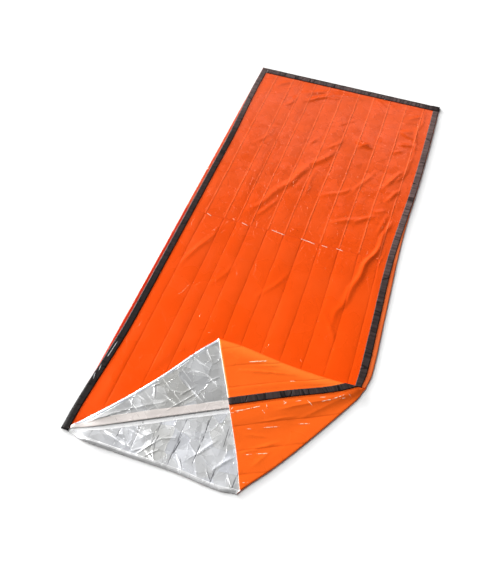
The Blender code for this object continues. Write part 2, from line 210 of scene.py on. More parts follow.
# 1 along the middle of the nearest line and 0 beside it, fading out at the line's ends
def lineMark(points, entries, share=1.0):
    mark = np.zeros(len(points))
    for startX, startY, endX, endY, half, *rise in entries:
        line = FoldLine((startX, startY), (endX, endY))
        along = (points - line.start) @ line.along
        within = smooth(np.minimum(along, line.reach - along) / min(0.012, 0.35 * line.reach) + 0.3)
        beside = np.clip(1.0 - np.abs(line.beyond(points)) / (half * share), 0.0, 1.0)
        mark = np.maximum(mark, beside * within)
    return mark


def hemRise(fromMouth, look):
    return look["hemHeight"] * smooth((look["hemWidth"] - fromMouth) / 0.003)


# height of the front panel: lowest at the mouth and at the closed foot
def frontHeight(points):
    foot = smooth((length - points[:, 1]) / bagPlan["footReach"])
    mouth = smooth(points[:, 1] / bagPlan["mouthReach"])
    height = blend(bagPlan["footHeight"], bagPlan["bagHeight"], foot)
    return bagPlan["filmMiddle"] + height * blend(bagPlan["mouthShare"], 1.0, mouth)


def cornerRise(points):
    return np.minimum(1.0, farFrom(turn, points) / 0.040)


# the main crease is pressed down onto the back panel where it shows at the mouth
def pressedDown(points):
    away = np.abs(mainCrease.beyond(points))
    along = (points @ mainCrease.along) / np.linalg.norm(mouthMiddle)
    share = smooth(1.0 - away / 0.05) * smooth(along / 0.15) * smooth((1.5 - along) / 0.4)
    return bagPlan["pressed"] * share


# In all lists of wrinkles and lines, in millimetres: start x, start y, end x, end y, half width,
# and the height where the line is raised.
frontPanel = {
    "column": 0.0072, "row": 0.0088, "crossRow": 0.012,
    "pillow": 0.0012, "zigzag": 0.0004, "wander": 0.020, "foldShare": 1.25,
    "crumple": ((0.0010, 0.085), (0.0004, 0.035)), "level": 0.6, "seed": 3.0,
    "wrinkles": inMetres(
        (270, 1160, 345, 1330, 24, 2), (330, 1290, 430, 1500, 26, 2.5), (375, 1330, 440, 1480, 16, -0.8),
        (430, 1500, 500, 1640, 22, 2.2), (500, 1640, 520, 1740, 16, 1.6), (300, 1120, 360, 1250, 14, 1.4),
        (763, 1478, 827, 1610, 16, 3), (800, 1380, 850, 1500, 14, 2.2), (754, 1873, 836, 1890, 16, 2.4),
        (770, 1960, 840, 1950, 13, 1.6), (589, 1747, 672, 1700, 16, 2.2), (610, 1690, 660, 1740, 14, 1.8),
        (690, 1226, 780, 1300, 14, 2), (600, 1190, 726, 1262, 14, 1.8), (735, 795, 840, 1226, 16, 3),
        (765, 900, 850, 1300, 11, 2), (720, 690, 790, 980, 14, 1.6), (690, 741, 763, 616, 13, 1.4),
        (252, 1998, 416, 2060, 20, 2.6), (300, 1975, 480, 2030, 16, 1.8), (600, 2065, 660, 2020, 14, 1.6),
        (150, 1560, 200, 1700, 14, 1), (90, 760, 165, 990, 16, 1.6), (520, 1330, 640, 1430, 14, 1.4),
        (640, 1400, 720, 1560, 14, 1.6), (450, 1800, 560, 1900, 14, 1), (240, 700, 310, 880, 14, 1),
        (420, 700, 520, 900, 14, 1),
        # the fold that runs beside the right tape
        (842, 2070, 848, 1900, 11, 2.2), (848, 1905, 845, 1730, 11, 2.4), (845, 1735, 838, 1560, 11, 2),
        (849, 1300, 840, 1220, 10, 1.8), (846, 1127, 844, 1020, 10, 1.6),
        # cross folds between it and the strips beside it
        (768, 1871, 837, 1854, 14, 2.6), (761, 1785, 836, 1803, 12, 2.2), (775, 1966, 831, 2035, 12, 1.8),
        (808, 1526, 838, 1587, 12, 2), (767, 1722, 798, 1755, 10, 1.4), (760, 1313, 817, 1345, 12, 1.8),
        (800, 1186, 827, 1314, 12, 2),
        # puckers along the foot tape
        (271, 1946, 342, 1991, 16, 2.2), (340, 1990, 420, 2040, 16, 2.8), (415, 2038, 560, 2072, 13, 2.2),
        (632, 2080, 702, 2043, 13, 2), (100, 1998, 190, 2075, 14, 1.8), (195, 1871, 234, 1978, 14, 1.4),
        (595, 1732, 665, 1708, 14, 2.2), (462, 1641, 512, 1701, 12, 1.6), (386, 1633, 418, 1707, 12, 1.4),
        (459, 1300, 455, 1482, 13, 1.4),
    ),
    # short sharp ridges that the cross crease pinches up, from end to end
    "pinches": inMetres(
        (99, 1070, 121, 1060), (254, 1069, 283, 1060.5), (384, 1072, 443, 1063.5), (512, 1067.5, 573, 1059),
        (601, 1062, 626, 1059), (662, 1066, 690, 1062),
    ),
    "pinchHeight": 0.0012, "pinchHalf": 0.0016,
}


# strips between the packing creases: pillowed, and tipped to alternate sides
def packingRelief(points):
    phase = packingPhase(points[:, 0])
    strip = np.abs(np.sin(math.pi * phase)) ** 0.6
    uneven = 0.6 + 0.4 * np.sin(7.0 * points[:, 1] + 2.3 * np.floor(phase))
    cross = 0.15 + 0.85 * smooth(np.abs(points[:, 1] - bagPlan["crossCrease"]) / 0.07)
    tipped = np.abs((phase / 2.0) % 1.0 * 2.0 - 1.0)
    return frontPanel["pillow"] * strip * uneven * cross + frontPanel["zigzag"] * tipped


# distance across the nearest pinched ridge, and how far a point is within its length
def nearestPinch(points):
    middles = np.array([((a + c) / 2, (b + d) / 2) for a, b, c, d in frontPanel["pinches"]])
    nearest = np.argmin(np.abs(points[:, :1] - middles[None, :, 0]), axis=1)
    across, within = np.ones(len(points)), np.zeros(len(points))
    for index, ends in enumerate(frontPanel["pinches"]):
        line = FoldLine(ends[:2], ends[2:])
        part = nearest == index
        across[part] = line.beyond(points[part])
        along = (points[part] - middles[index]) @ line.along
        within[part] = (line.reach / 2 - np.abs(along)) / 0.007
    return across, np.clip(within, -1.0, 1.0)


def frontRelief(points):
    fromSeams = smooth((np.minimum(points[:, 0], width - points[:, 0]) - 0.042) / 0.04)
    fromFoot = smooth((length - points[:, 1] - 0.030) / 0.05)
    clear = fromSeams * fromFoot * np.maximum(
        smooth(-hoodEdge.beyond(points) / 0.04), smooth(flapEdge.beyond(points) / 0.04))
    busy = 0.45 + 0.55 * smooth((points[:, 0] - 0.42) / 0.3) * smooth((points[:, 1] - 0.95) / 0.3)
    folds = softFolds(points, frontPanel["wrinkles"], frontPanel["wander"], 51.0)
    relief = packingRelief(points) + frontPanel["foldShare"] * folds + busy * crumpled(points, frontPanel)
    return np.maximum(relief, -0.0014) * clear


flap = {
    "crumple": ((0.0012, 0.085), (0.0003, 0.022)), "level": 0.7, "seed": 11.0,
    "hemWidth": 0.012, "hemHeight": 0.0003, "start": 0.0200,
    "wrinkles": inMetres(
        (30, 30, 180, 147, 8, 1.6), (160, 134, 290, 215, 8, 1.2), (320, 350, 371, 350, 6, 1.3),
        (365, 352, 440, 312, 6, 1.5), (260, 250, 330, 255, 7, 1.5), (315, 245, 350, 292, 6, 1.2),
        (380, 318, 436, 378, 6, 1.4), (300, 306, 400, 243, 6, 1.3), (290, 176, 368, 274, 5, 1),
        (180, 199, 216, 190, 5, 1.2), (208, 238, 235, 268, 5, 1.2), (290, 404, 385, 370, 6, 1),
        (260, 229, 322, 208, 6, 1.1), (217, 252, 237, 206, 5, 1), (330, 455, 372, 400, 5, 0.9),
        (345, 420, 390, 440, 5, 0.8),
    ),
    "darkLines": inMetres(
        (142, 100, 154, 90, 1), (203, 136, 221, 123, 1),
    ),
}


def flapHeight(points, pattern):
    fromCorner = farFrom(leftCorner, points)
    rise = bagPlan["flapRise"] * cornerRise(points) * np.clip(fromCorner / 0.12, 0.5, 1.0)
    lift = frontHeight(points) + rise - pressedDown(points)
    shown = smooth(-(hoodMouth.beyond(points) + 0.004) / 0.03)
    shown = shown * smooth(-(mainCrease.beyond(points) + 0.006) / 0.02)
    shown = shown * smooth((fromCorner - 0.05) / 0.08)
    relief = wrinkles(points, flap["wrinkles"]) + 0.6 * packingRelief(pattern) + crumpled(pattern, flap)
    hem = hemRise(pattern[:, 1] - flapBow(pattern[:, 0]), flap)
    return lift + np.maximum(relief, -0.0012) * shown + hem * shown


hood = {
    "crumple": ((0.0007, 0.075), (0.0004, 0.028)), "level": 0.6, "seed": 21.0, "wrinkleShare": 0.5,
    "wrinkles": inMetres(
        (470, 400, 660, 462, 12, 2.4), (560, 330, 640, 372, 8, 1), (520, 440, 620, 492, 10, 1.4),
        (700, 430, 820, 485, 8, 1.2), (640, 300, 790, 400, 9, 2.4), (600, 240, 700, 300, 9, 1.8),
        (580, 120, 680, 200, 12, 2.2), (620, 80, 660, 160, 10, 1.6), (560, 180, 640, 200, 9, 1.4),
        (720, 300, 830, 420, 10, 1.8),
    ),
    # narrow bright ridges
    "glints": inMetres(
        (491, 448, 553, 482, 3, 0.6), (646, 422, 666, 432, 2.2, 0.5), (505, 247, 540, 265, 2.6, 0.6),
        (540, 267, 584, 295, 2.2, 0.5), (492, 244, 498, 262, 1.8, 0.4), (599, 309, 606, 293, 2, 0.5),
        (591, 283, 607, 272, 2, 0.5), (768, 382, 806, 408, 2.8, 0.6), (806, 410, 837, 437, 3, 0.6),
        (760, 396, 778, 404, 1.8, 0.4), (563, 201, 583, 208, 1.8, 0.4), (615, 225, 664, 248, 1.8, 0.4),
        (714, 278, 751, 293, 1.8, 0.4), (585, 115, 610, 127, 1.8, 0.4), (619, 132, 654, 147, 1.8, 0.4),
        (615, 26, 635, 36, 1.6, 0.3), (847, 447, 863, 435, 1.8, 0.4), (722, 370, 744, 356, 1.8, 0.4),
        (651, 338, 661, 331, 1.6, 0.3), (496, 237, 523, 252, 2.2, 0.5), (612, 306, 622, 304, 2, 0.5),
        (654, 326, 660, 337, 1.8, 0.4), (690, 352, 706, 361, 1.8, 0.4), (825, 416, 843, 427, 1.8, 0.4),
    ),
}


def hoodRelief(points, pattern):
    fromSeam = np.abs(mainCrease.beyond(points) + bagPlan["turnedSeamInset"] + 0.003)
    inside = smooth((hoodEdge.beyond(points) - 0.004) / 0.02) * smooth((farFrom(turn, points) - 0.03) / 0.06)
    relief = hood["wrinkleShare"] * wrinkles(points, hood["wrinkles"]) + wrinkles(points, hood["glints"])
    relief = relief + 0.5 * packingRelief(pattern) + crumpled(points, hood)
    return np.maximum(relief, -0.0010) * inside * smooth((fromSeam - 0.018) / 0.02)


def hoodHeight(points):
    return frontHeight(points) + bagPlan["hoodRise"] * cornerRise(points)


# the hood's lower half climbs from its round at the side up to the seam
def lowerHoodHeight(points):
    away = farFrom(turn, points)
    toFoot, toMiddle = hoodFoot - turn, leftCorner - turn
    footReach = np.linalg.norm(toFoot)
    span = math.acos(toFoot @ toMiddle / footReach / np.linalg.norm(toMiddle))
    cosine = (points - turn) @ toFoot / np.maximum(away, 1e-6) / footReach
    turned = np.where(hoodCrease.beyond(points) > 0, 0.0, np.arccos(np.clip(cosine, -1.0, 1.0)))
    rounded = blend(bagPlan["bagHeight"], 2 * foldRound, np.minimum(1.0, away / footReach))
    return blend(bagPlan["filmMiddle"] + rounded, hoodHeight(points), smooth((turned / span - 0.3) / 0.7))


backPanel = {
    "column": 0.0080, "row": 0.0095, "lipHeight": 0.0055, "lipReach": 0.060,
    "crumple": ((0.0013, 0.080), (0.0004, 0.020)), "level": 0.75, "seed": 31.0,
    "hemWidth": 0.0135, "hemHeight": 0.0004,
    "mouthRows": (0.0, 0.002, 0.004, 0.007, 0.010, 0.014, 0.03),
    "wrinkles": inMetres(
        (118, 52, 245, 19, 7, 2.6), (262, 10, 310, 78, 6, 1.8), (302, 76, 360, 102, 6, 1.5),
        (362, 132, 440, 121, 6, 1.4), (238, 6, 280, 38, 6, 1.8), (274, 30, 334, 1, 6, 2),
        (506, 34, 564, 108, 9, 1.8), (436, 62, 488, 137, 9, 1.6), (285, 5, 322, 45, 5, 1.6),
        (320, 6, 300, 40, 5, 1.3), (200, 80, 290, 62, 7, 1.3), (390, 40, 420, -2, 5, 1),
        (490, 30, 516, -4, 5, 1), (560, 40, 590, 0, 5, 1.2), (530, 140, 575, 125, 6, 1.3),
        (460, 200, 505, 170, 6, 1),
    ),
    # short dark lines where the packing folds pinch, and three pinholes beside the main crease
    "darkLines": inMetres(
        (176, 55, 174, 38, 1.6), (302, 92, 300, 62, 2), (302, 61, 308, 33, 1.3), (371, 125, 370, 82, 1.3),
        (375, 98, 369, 43, 2.6), (435, 200, 442, 141, 1.1), (442, 138, 441, 112, 2),
        (442, 107, 440, 32, 1.2), (508, 192, 514, 119, 1.3), (571, 23, 589, -4, 1.5),
        (396, 41, 419, 4, 0.9), (491, 29, 517, -1, 1.1), (515, 33, 518, -4, 1.3), (310, 20, 309, 5, 1.6),
        (234, 116, 235, 111.5, 2.2), (171.5, 86, 172.5, 82.5, 1.6), (368.5, 185.5, 369, 182, 1.6),
    ),
}


def backRelief(points):
    shown = smooth((mainCrease.beyond(points) - 0.008) / 0.02)
    shown = shown * smooth(-(hoodEdgeBelow.beyond(points) + 0.006) / 0.02)
    shown = shown * smooth((farFrom(leftCorner, points) - 0.04) / 0.06)
    relief = wrinkles(points, backPanel["wrinkles"]) + 0.5 * packingRelief(points)
    relief = relief + crumpled(points, backPanel)
    fromMouth = points[:, 1] + mouthBow(points[:, 0])
    # the mouth edge stands up a little and curls down again
    lip = smooth(1.0 - fromMouth / backPanel["lipReach"]) * (0.15 + 0.85 * smooth(fromMouth / 0.009))
    lip = backPanel["lipHeight"] * lip * (0.85 + 0.3 * np.sin(9.0 * points[:, 0] + 0.6))
    return (np.maximum(relief, 0.0) + hemRise(fromMouth, backPanel) + lip) * shown


# points near a crease on the half round from the low layer up to the high one
def rolled(crease, points, half, low, high):
    angle = math.pi / 2 * (1.0 + np.clip(crease.beyond(points) / half, -1.0, 1.0))
    flat = crease.move(points, -half + half * np.sin(angle))
    return flat, (low + high) / 2 - (high - low) / 2 * np.cos(angle)


# the place on the hood of a point of the front panel's turned corner
def hoodPlace(points):
    return mainCrease.mirror(hoodCrease.mirror(points))


def foldFront(points):
    overHood, overMain = hoodCrease.beyond(points), mainCrease.beyond(points)
    place, height = points.copy(), frontHeight(points) + frontRelief(points) - pressedDown(points)

    part = (overMain > -foldRound) & (overMain < foldRound)
    edge = mainCrease.move(points[part], 0.0)
    low, high = frontHeight(edge) - pressedDown(edge), flapHeight(edge, edge)
    place[part], height[part] = rolled(mainCrease, points[part], foldRound, low, high)

    part = overMain >= foldRound
    place[part] = mainCrease.mirror(points[part])
    height[part] = flapHeight(place[part], points[part])

    part = (overMain > foldRound) & (overHood > -foldRound)
    edge = mainCrease.mirror(hoodCrease.move(points[part], 0.0))
    flat, height[part] = rolled(hoodCrease, points[part], foldRound, flapHeight(edge, edge), hoodHeight(edge))
    place[part] = mainCrease.mirror(flat)

    part = (overMain > foldRound) & (overHood >= foldRound)
    place[part] = hoodPlace(points[part])
    height[part] = hoodHeight(place[part]) + hoodRelief(place[part], points[part])
    return place, height


def foldBack(points):
    floor = np.full(len(points), bagPlan["filmMiddle"])
    place, height = points.copy(), floor + backRelief(points)
    beside = points[:, 1] >= turnedLength

    def foldOver(crease, wanted, edgeHeight, settledHeight):
        over = crease.beyond(points)
        wanted, beyondRound = wanted & (over > -sideRound), over >= sideRound
        flat, raised = rolled(crease, points, sideRound, floor, edgeHeight)
        place[wanted] = np.where(beyondRound[:, None], crease.mirror(points), flat)[wanted]
        height[wanted] = np.where(beyondRound, settledHeight, raised)[wanted]

    for side in (leftSide, rightSide):
        edgeHeight = frontHeight(side.move(points, 0.0))
        foldOver(side, beside | (side is leftSide), edgeHeight, edgeHeight)
    mirrored = hoodCrease.mirror(points)
    relief = hoodRelief(mirrored, points) * smooth((hoodCrease.beyond(points) - sideRound) / 0.03)
    edgeHeight = lowerHoodHeight(hoodCrease.move(points, 0.0))
    foldOver(hoodCrease, ~beside, edgeHeight, lowerHoodHeight(mirrored) + relief)
    return place, height


seamTapes = {
    "thickness": 0.0009, "clearance": 0.0005, "column": 0.0035, "row": 0.0065,
    "ripple": 0.00035, "patternMiddle": 0.1,
    "glints": inMetres(
        (21.5, 372, 16, 300, 1.4), (10, 268, 13, 240, 1.2), (4, 232, 10.5, 205, 1.3),
    ),
    # how far along the right tape small cross kinks stand up
    "kinks": (0.622, 0.830, 1.402), "kinkHeight": 0.0008,
    # how pale each tape looks, a painted sheen: the axis it changes along, its first tone, and each change of
    # tone with its start and its reach
    "pale": {
        "leftTape": (1, 0.03, (0.12, 0.5, 0.5), (0.50, 1.55, 0.3)), "rightTape": (1, 0.24, (0.54, 0.75, 0.6)),
        "hoodTape": (1, 0.22), "footTape": (0, 0.55, (-0.35, 0.80, 0.08)),
    },
}
tapeLift = bagPlan["filmMiddle"] + seamTapes["clearance"] + 0.0005
tapeRound = foldRound + tapeLift
tapeDrop = bagPlan["hoodRise"] - tapeRound


def tapeRipple(points):
    ripple = seamTapes["ripple"] * wavy(points, 0.018, 41.0)
    for kink in seamTapes["kinks"]:
        beside = np.clip(1.0 - np.abs(points[:, 1] - kink) / 0.007, 0.0, 1.0)
        ripple = ripple + seamTapes["kinkHeight"] * beside
    return np.maximum(ripple, -0.0002)


def layTape(points):
    outside = np.maximum(0.0, -points[:, 0])
    lift = frontHeight(points) + tapeLift - outside * 0.25
    return points, np.maximum(0.001, lift) + tapeRipple(points) * (points[:, 0] > width / 2)


# the foot tape climbs over the right tape at its end
def layFootTape(points):
    rightEdge = width - bagPlan["footSeamInset"] - tapeWidth
    step = 0.0015 * smooth((points[:, 0] - rightEdge) / (tapeWidth / 3))
    return points, frontHeight(points) + tapeLift + step + 0.6 * tapeRipple(points)


# the right tape's turned run: over the hood and down its upper fold
def foldHoodTape(points):
    over = hoodCrease.beyond(points)
    bent = np.maximum(0.0, foldRound - over)
    angle = np.minimum(math.pi / 2, bent / tapeRound)
    straight = np.maximum(0.0, bent - tapeRound * math.pi / 2)
    wrapped = hoodCrease.move(points, foldRound - tapeRound * np.sin(angle))
    edge = hoodPlace(hoodCrease.move(points, np.maximum(0.0, over)))
    share = (tapeRound * (1.0 - np.cos(angle)) + straight) / (tapeRound + tapeDrop)
    height = blend(lowerHoodHeight(edge) + tapeLift, frontHeight(edge) + tapeLift, share)
    flat = np.where((bent > 0)[:, None], wrapped, points)
    return hoodPlace(flat), height + tapeRipple(points) * (bent <= 0)


# how far single corners are drawn from their place: the corner, the shift, and the reach of the draw
cornerDraws = (
    (flapCorner, (0.006, -0.011), 0.070), (hoodFoot, (-0.009, 0.000), 0.090),
    (leftCorner, (0.001, 0.008), 0.070),
)


# the bag draws in at its right edge, is shorter along it and bows out at the hood, whose upper edge sags
def settled(place):
    across = place[:, 0] / width
    fromWaist = (place[:, 1] - bagPlan["waistPlace"] * length) / bagPlan["waistReach"]
    waist = bagPlan["waist"] * across * np.exp(-fromWaist ** 2)
    skew = bagPlan["footSkew"] * (0.5 - across) * place[:, 1] / length
    away = farFrom(turn, place)
    bow = bagPlan["hoodBow"] * np.sin(math.pi * np.clip(away / hoodCrease.reach, 0.0, 1.0))
    bow = bow * smooth(1.0 + hoodCrease.beyond(place) / 0.15)
    corner = bagPlan["cornerRound"] * np.exp(-(away / bagPlan["cornerReach"]) ** 2)
    along = np.clip((place - flapCorner) @ hoodEdge.along / hoodEdge.reach, 0.0, 1.0)
    sag = bagPlan["edgeSag"] * np.sin(math.pi * along ** 1.3)
    sag = sag * np.exp(-(hoodEdge.beyond(place) / bagPlan["sagReach"]) ** 2)
    drawn = place + np.stack((-waist, skew), 1)
    for amount, direction in ((bow, hoodCrease.across), (-corner, rightSide.across), (sag, hoodEdge.across)):
        drawn = drawn + np.multiply.outer(amount, direction)
    for spot, shift, reach in cornerDraws:
        drawn = drawn + np.multiply.outer(np.exp(-(farFrom(spot, place) / reach) ** 2), shift)
    return drawn


# places from the first stop to the last, through every stop and at most a step apart
def evenPlaces(stops, step):
    places = [stops[0]]
    for low, high in zip(stops, stops[1:]):
        count = max(1, math.ceil((high - low) / step))
        places += [blend(low, high, index / count) for index in range(1, count + 1)]
    return places


def flatGrid(columns, rows):
    across, along = len(columns) - 1, len(rows) - 1
    sheet = bmesh.new()
    bmesh.ops.create_grid(sheet, x_segments=across, y_segments=along, size=0.5)
    for vert in sheet.verts:
        vert.co.x = columns[round((vert.co.x + 0.5) * across)]
        vert.co.y = rows[round((vert.co.y + 0.5) * along)]
    return sheet


closeBy = 5e-5      # points of a flat sheet that are nearer than this are one point


def middleOf(face):
    middle = face.calc_center_median()
    return np.array((middle.x, middle.y))


# cuts the given faces and all their edges along a line
def bisect(sheet, faces, start, across, clear=False):
    parts = set(faces)
    for face in faces:
        parts.update(face.edges)
        parts.update(face.verts)
    return bmesh.ops.bisect_plane(
        sheet, geom=list(parts), dist=closeBy, plane_co=(start[0], start[1], 0.0),
        plane_no=(across[0], across[1], 0.0), clear_outer=clear)["geom"]


def cut(sheet, start, across, wanted=None, clear=False):
    faces = [face for face in sheet.faces if wanted is None or wanted(middleOf(face))]
    bisect(sheet, faces, start, across, clear)


def creaseCuts(sheet, crease, half, wanted=None, steps=3):
    for step in range(-steps, steps + 1):
        cut(sheet, crease.start + crease.across * (half * step / steps), crease.across, wanted)


# cuts along the middle and both sides of each wrinkle, so that it folds there and nowhere else
def wrinkleCuts(sheet, entries, unfold=lambda ends: ends):
    for startX, startY, endX, endY, half, *rise in entries:
        ends = unfold(np.array(((startX, startY), (endX, endY))))
        line = FoldLine(*ends)
        middle = Vector((*(ends[0] + ends[1]) / 2, 0.0))
        faces = []
        for face in sheet.faces:
            place = face.verts[0].co - middle
            if max(abs(place.x), abs(place.y)) < line.reach / 2 + 0.02:
                spot = middleOf(face)
                along = (spot - line.start) @ line.along
                if abs(line.beyond(spot)) < half + 0.006 and -0.004 < along < line.reach + 0.004:
                    faces.append(face)
        for step in (0.0, -1.0, 1.0, -0.45, 0.45):
            parts = bisect(sheet, faces, line.start + line.across * half * step, line.across)
            faces = [part for part in parts if isinstance(part, bmesh.types.BMFace)]


def drop(sheet, doomed):
    faces = [face for face in sheet.faces if doomed(middleOf(face))]
    bmesh.ops.delete(sheet, geom=faces, context="FACES")


# the panels' pattern, in which all strips between the packing creases are equally wide
def stripPattern(points):
    strips = len(bagPlan["packingCreases"]) + 1
    return np.stack((packingPhase(points[:, 0]) * width / strips, points[:, 1]), 1)


# folds a flat sheet, keeps its flat plan as its pattern, and gives it its thickness
def foldedPiece(name, sheet, fold, thickness, patternOf, marks):
    bmesh.ops.remove_doubles(sheet, verts=sheet.verts, dist=closeBy)
    mesh = bpy.data.meshes.new(name)
    sheet.to_mesh(mesh)
    sheet.free()
    flat = np.empty(len(mesh.vertices) * 3)
    mesh.vertices.foreach_get("co", flat)
    points = flat.reshape(-1, 3)[:, :2].copy()

    place, height = fold(points)
    lying = np.column_stack((settled(place) + planOrigin, height))
    mesh.vertices.foreach_set("co", lying.ravel())

    corners = np.empty(len(mesh.loops), np.int32)
    mesh.loops.foreach_get("vertex_index", corners)
    pattern = patternOf(points)[corners] / bagPlan["patternSpan"] + bagPlan["patternStart"]
    mesh.uv_layers.new(name="pattern").data.foreach_set("uv", pattern.ravel())
    for key, values in marks(points).items():
        mesh.attributes.new(key, "FLOAT", "POINT").data.foreach_set("value", values)
    mesh.update()

    piece = bpy.data.objects.new(name, mesh)
    bpy.context.scene.collection.objects.link(piece)
    for polygon in mesh.polygons:
        polygon.use_smooth = True
    wall = piece.modifiers.new("wall", "SOLIDIFY")
    wall.thickness = thickness
    wall.offset = 0.0
    return piece


# What the finishes follow: distances from the edges and creases, and how far a point is on a ridge, a dark
# line, the hood or a rolled side; the rolled sides get painted shade on the left and painted light on the
# right.
def sheetMarks(points, ridges, darkLines, onHood, **others):
    none = np.zeros(len(points))
    marks = {"pinchAcross": none + 1.0, "pinchWithin": none, "underFold": none, "sideTone": none}
    marks.update(
        fromCrease=mainCrease.beyond(points), alongCrease=points @ mainCrease.along,
        ridge=ridges, darkLine=darkLines, onHood=onHood, **others)
    return marks


# the hood's bright ridges lie above the seam on the front panel, and below it on the back panel
def hoodGlints(above):
    seam = -bagPlan["turnedSeamInset"]
    return tuple(
        entry for entry in hood["glints"] if (mainCrease.beyond(np.array(entry[:2])) < seam) == above)


def frontMarks(points):
    lying, turned = mainCrease.mirror(points), mainCrease.beyond(points) > 0
    ridges = lineMark(lying, flap["wrinkles"], 0.30) * turned
    pinchAcross, pinchWithin = nearestPinch(points)
    return sheetMarks(
        points, np.maximum(ridges, lineMark(hoodPlace(points), hoodGlints(True))),
        lineMark(lying, flap["darkLines"]) * turned, smooth(hoodCrease.beyond(points) / 0.004) * turned,
        underFold=1.0 - smooth((hoodEdge.beyond(hoodPlace(points)) - 0.004) / 0.055),
        fromMouth=points[:, 1] - flapBow(points[:, 0]), pinchAcross=pinchAcross, pinchWithin=pinchWithin)


def backMarks(points):
    ridges = lineMark(points, backPanel["wrinkles"], 0.45)
    ridges = np.maximum(ridges, lineMark(hoodCrease.mirror(points), hoodGlints(False)))
    onHood = smooth(hoodCrease.beyond(points) / 0.004) * (points[:, 1] < turnedLength)
    fromMiddle = points[:, 0] - width / 2
    return sheetMarks(
        points, ridges, lineMark(points, backPanel["darkLines"]), onHood,
        fromMouth=points[:, 1] + mouthBow(points[:, 0]),
        sideTone=smooth(fromMiddle / 0.1) * (1.0 - onHood) - smooth(-fromMiddle / 0.1))


def bowMouth(vert, bow):
    if vert.co.x < hoodFoot[0] and vert.co.y < bagPlan["bowReach"]:
        vert.co.y += float(bow) * (1.0 - vert.co.y / bagPlan["bowReach"])


def makeFrontPanel():
    stops = [0.0, *bagPlan["packingCreases"], width]
    cross, crossRow = bagPlan["crossCrease"], frontPanel["crossRow"]
    rows = evenPlaces([0.0, cross - crossRow, cross, cross + crossRow, length], frontPanel["row"])
    sheet = flatGrid(evenPlaces(stops, frontPanel["column"]), rows)
    firstStrip, lastStrip, gap = stops[1], width - stops[-2], bagPlan["seamGap"]
    for vert in sheet.verts:
        left, right = leftSeam(vert.co.y) + gap, width - rightSeam(vert.co.y) + gap
        bowMouth(vert, flapBow(vert.co.x))
        if vert.co.x < firstStrip:
            vert.co.x = blend(left, firstStrip, vert.co.x / firstStrip)
        if vert.co.x > width - lastStrip:
            vert.co.x = width - blend(right, lastStrip, (width - vert.co.x) / lastStrip)
    creaseCuts(sheet, mainCrease, foldRound)
    creaseCuts(sheet, hoodCrease, foldRound, lambda place: mainCrease.beyond(place) > 0)
    # the flap starts beside the left tape
    tip = mainCrease.along * (flap["start"] / mainCrease.along[0])
    trim = FoldLine(tip, mainCrease.mirror(tip[None] + (0.0, tapeWidth))[0])
    cut(sheet, tip, trim.across, lambda place: place[1] < tapeWidth)
    drop(sheet, lambda place: trim.beyond(place) > 0 and mainCrease.beyond(place) > -foldRound)
    wrinkleCuts(sheet, flap["wrinkles"] + flap["darkLines"], mainCrease.mirror)
    wrinkleCuts(
        sheet, hood["wrinkles"] + hoodGlints(True), lambda ends: hoodCrease.mirror(mainCrease.mirror(ends)))
    return foldedPiece("frontPanel", sheet, foldFront, bagPlan["film"], stripPattern, frontMarks)


# the small facet beyond the turn that a squash fold doubles under the hood is left open
def openTurn(sheet):
    nearTurn = (turn - hoodEdge.along)[None]
    upper = FoldLine(turn, rightSide.mirror(nearTurn)[0])
    lower = FoldLine(hoodCrease.mirror(nearTurn)[0], turn)
    for ray in (upper, lower):
        ray.start = ray.start - ray.across * 0.0025
        cut(sheet, ray.start, ray.across, lambda place: place[0] > width)
    drop(sheet, lambda place: place[0] > width and upper.beyond(place) > 0 and lower.beyond(place) > 0)


def makeBackPanel():
    overSide, gap = bagPlan["rightSeamInset"], bagPlan["seamGap"]
    stops = [-overSide, 0.0, *bagPlan["packingCreases"], width, width + overSide]
    rows = evenPlaces([*backPanel["mouthRows"], length], backPanel["row"])
    sheet = flatGrid(evenPlaces(stops, backPanel["column"]), rows)
    for vert in sheet.verts:
        left, right = leftSeam(vert.co.y) - gap, width - rightSeam(vert.co.y) - gap
        bowMouth(vert, -mouthBow(vert.co.x))
        if vert.co.x < 0.0:
            vert.co.x *= left / overSide
        if vert.co.x > width:
            vert.co.x = width + (vert.co.x - width) * right / overSide
    creaseCuts(sheet, leftSide, sideRound)
    creaseCuts(sheet, rightSide, sideRound, lambda place: place[1] > turnedLength - 0.02)
    cut(sheet, turn, (0.0, 1.0), lambda place: place[0] > width - 0.05)
    creaseCuts(sheet, hoodCrease, sideRound, lambda place: place[1] < turnedLength)
    openTurn(sheet)
    wrinkleCuts(sheet, backPanel["wrinkles"] + backPanel["darkLines"])
    wrinkleCuts(sheet, hood["wrinkles"] + hoodGlints(False), hoodCrease.mirror)
    return foldedPiece("backPanel", sheet, foldBack, bagPlan["film"], stripPattern, backMarks)


def seamSheet(seam, end=length):
    half = tapeWidth / 2
    sheet = flatGrid(evenPlaces([-half, half], seamTapes["column"]), evenPlaces([0.0, end], seamTapes["row"]))
    for vert in sheet.verts:
        vert.co.x += seam(vert.co.y)
    return sheet


# a tape's pattern runs along the tape
def seamPattern(seam):
    middle = seamTapes["patternMiddle"]
    return lambda points: np.stack((points[:, 0] - seam(points[:, 1]) + middle, points[:, 1]), 1)


# lays a tape and notes its painted sheen, how pale its ribbed face looks, and where it glints
def foldedTape(name, sheet, fold, patternOf, glints=()):
    axis, first, *changes = seamTapes["pale"][name]

    def marks(points):
        pale = np.full(len(points), first)
        for change, start, reach in changes:
            pale = pale + change * smooth((points[:, axis] - start) / reach)
        return {"pale": pale, "glint": lineMark(points, glints)}
    return foldedPiece(name, sheet, fold, seamTapes["thickness"], patternOf, marks)


def makeLeftTape():
    sheet = seamSheet(leftSeam)
    wrinkleCuts(sheet, seamTapes["glints"])
    return foldedTape("leftTape", sheet, layTape, seamPattern(leftSeam), seamTapes["glints"])


